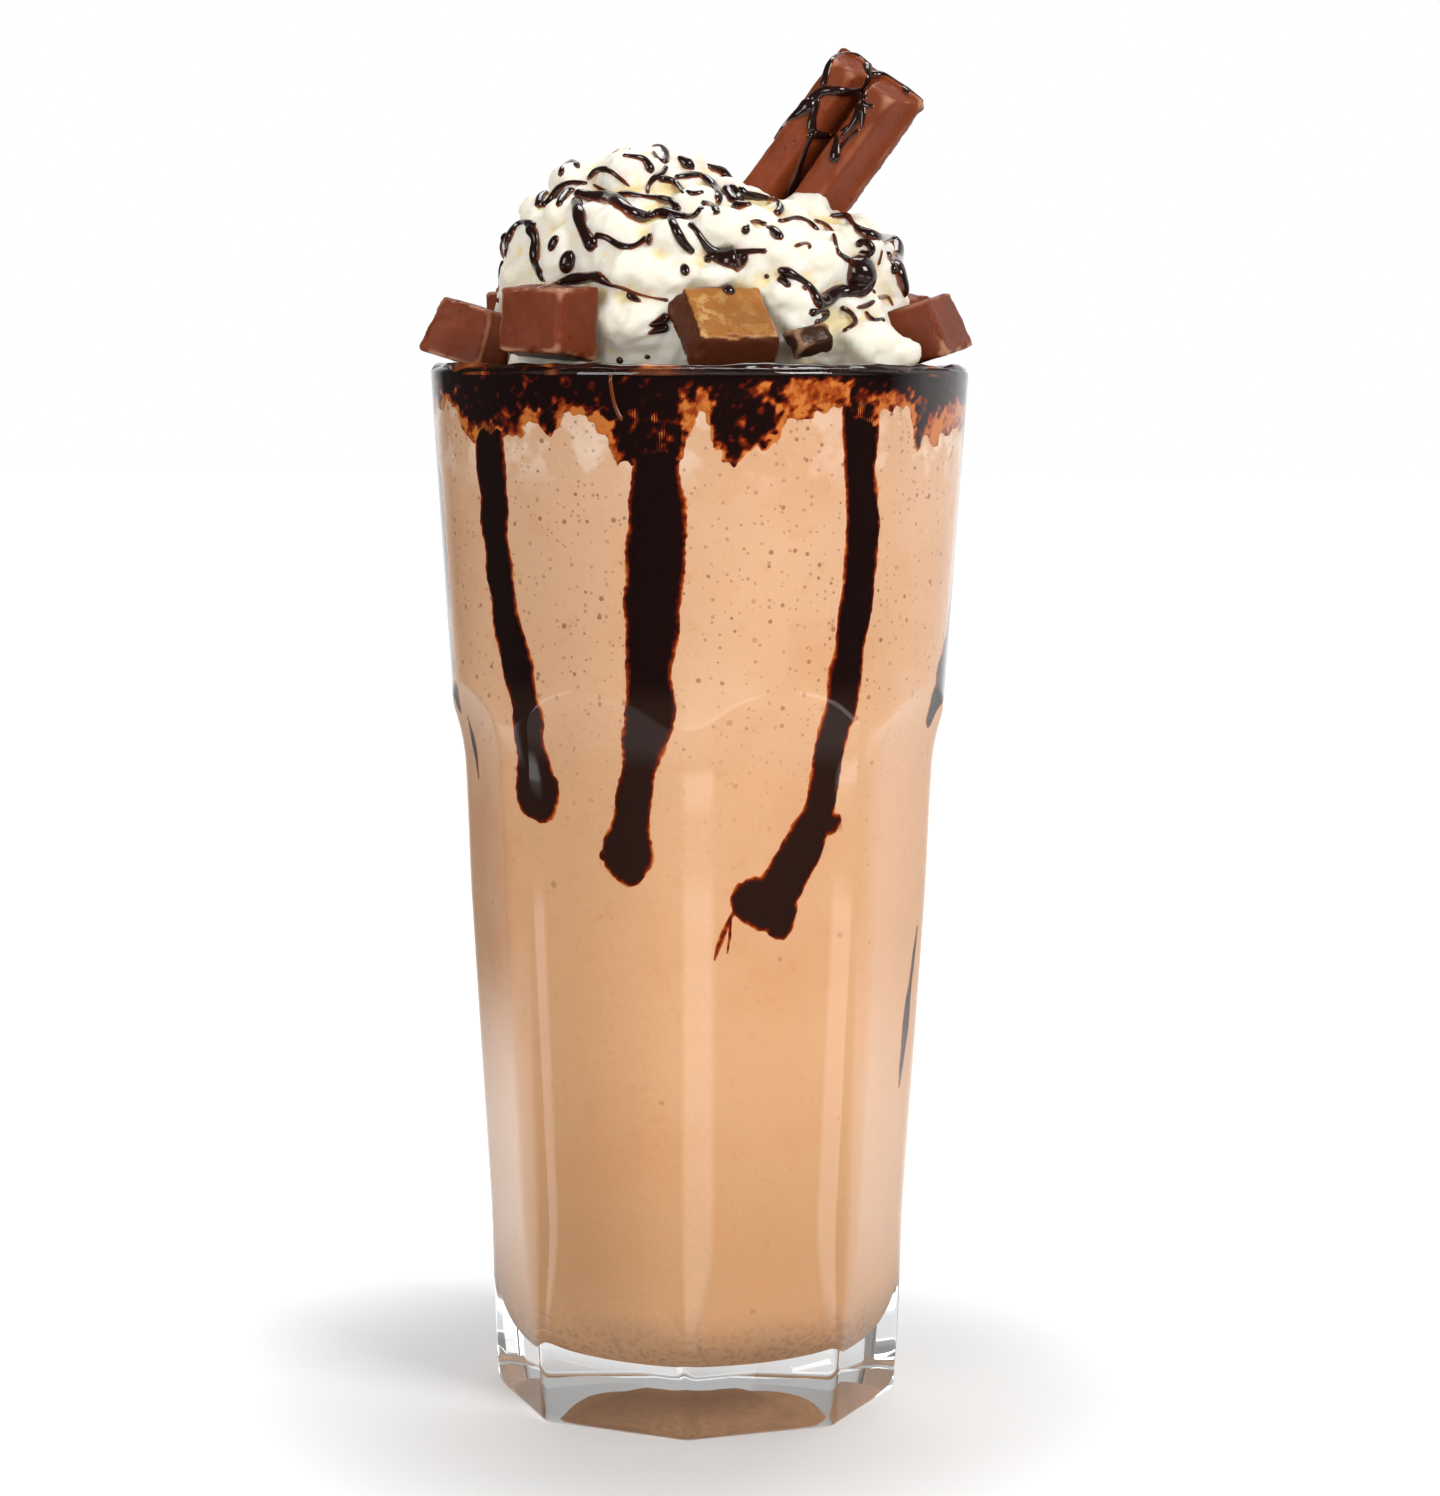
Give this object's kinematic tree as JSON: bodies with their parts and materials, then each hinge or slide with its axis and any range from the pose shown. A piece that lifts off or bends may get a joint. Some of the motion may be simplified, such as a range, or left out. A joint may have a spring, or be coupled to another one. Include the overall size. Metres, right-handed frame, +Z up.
{
  "type": "chocolate milkshake in a tumbler",
  "caption": "Tall panelled glass tumbler of chocolate milkshake, topped with whipped cream, moulded chocolate chunks, a leaning chocolate bar and chocolate sauce.",
  "frame": {"origin": "centre of the tumbler's underside", "axes": "+Z up along the tumbler's axis, -Y towards the front, +X towards the side the chocolate bar leans to"},
  "size_m": [0.0933, 0.0916, 0.2325],
  "materials": {
    "glass": "clear polished soda-lime glass",
    "milkshake": "opaque drink with fine bubbles",
    "whipped_cream": "soft satin",
    "chocolate": "satin milk chocolate",
    "golden_chocolate": "glossy golden-brown chocolate",
    "dark_chocolate": "glossy, coated with sauce"
  },
  "bodies": {
    "root": {"glass": "glass", "milkshake": "milkshake", "whipped_cream": "whipped_cream", "chocolate_bar": "chocolate", "chocolate_shard": "dark_chocolate", "chocolate_chunk_1": "chocolate", "chocolate_chunk_2": "chocolate", "chocolate_chunk_3": "golden_chocolate", "chocolate_chunk_4": "chocolate", "chocolate_chunk_5": "chocolate", "chocolate_chunk_6": "chocolate", "chocolate_chunk_7": "chocolate"}
  },
  "joints": []
}
